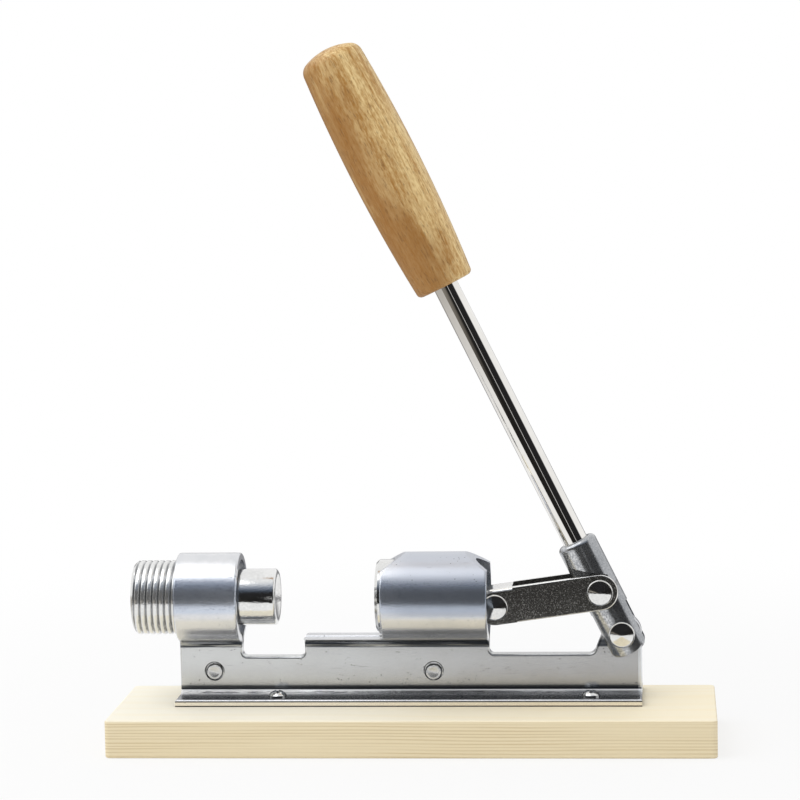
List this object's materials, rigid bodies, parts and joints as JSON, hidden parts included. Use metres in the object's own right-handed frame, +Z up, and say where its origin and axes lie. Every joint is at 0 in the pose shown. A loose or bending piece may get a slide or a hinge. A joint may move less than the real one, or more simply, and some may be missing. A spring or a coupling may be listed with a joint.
{
  "type": "lever nutcracker press",
  "caption": "Bench nutcracker: a hand lever drives a sliding plunger towards a threaded anvil, on a folded steel frame screwed to a board.",
  "frame": {"origin": "middle of the board's underside", "axes": "+X along the board from the anvil to the lever's pivot, +Y away from the user, +Z up"},
  "size_m": [0.24, 0.07, 0.2784],
  "materials": {
    "pine": "satin",
    "grip_wood": "satin",
    "zinc_steel": "satin",
    "bright_steel": "polished",
    "turned_steel": "satin",
    "dark_steel": "satin"
  },
  "bodies": {
    "frame": {"base_board": "pine", "frame_stamping": "zinc_steel", "web_rivet_left": "turned_steel", "web_rivet_right": "turned_steel", "base_screw_front_left": "bright_steel", "base_screw_front_right": "bright_steel", "base_screw_rear_left": "bright_steel", "base_screw_rear_right": "bright_steel", "pivot_pin": "bright_steel"},
    "anvil": {"adjusting_anvil": "bright_steel"},
    "lever": {"lever_fork": "turned_steel", "lever_rod": "bright_steel", "wood_handle": "grip_wood", "lever_pin": "bright_steel"},
    "link": {"link_channel": "dark_steel"},
    "plunger": {"crushing_plunger": "bright_steel", "plunger_pin": "bright_steel"}
  },
  "joints": [
    {"name": "lever_swing", "type": "hinge", "parent": "frame", "child": "lever", "pos_m": [0.0829, 0.01, 0.0414], "axis": [0, -1, 0], "range_deg": [-30, 14]},
    {"name": "link_turn", "type": "hinge", "parent": "lever", "child": "link", "pos_m": [0.07444, 0.01, 0.05875], "axis": [0, -1, 0], "range_deg": [-16.5, 34.8]},
    {"name": "plunger_slide", "type": "slide", "parent": "frame", "child": "plunger", "axis": [1, 0, 0], "range_m": [-0.0048, 0.0101]},
    {"name": "anvil_travel", "type": "slide", "parent": "frame", "child": "anvil", "axis": [1, 0, 0], "range_m": [-0.01, 0.018]}
  ],
  "couplings": [
    {"joint": "link_turn", "follows": "lever_swing", "ratio": -1.14},
    {"joint": "plunger_slide", "follows": "lever_swing", "m_per_rad": -0.018908}
  ]
}
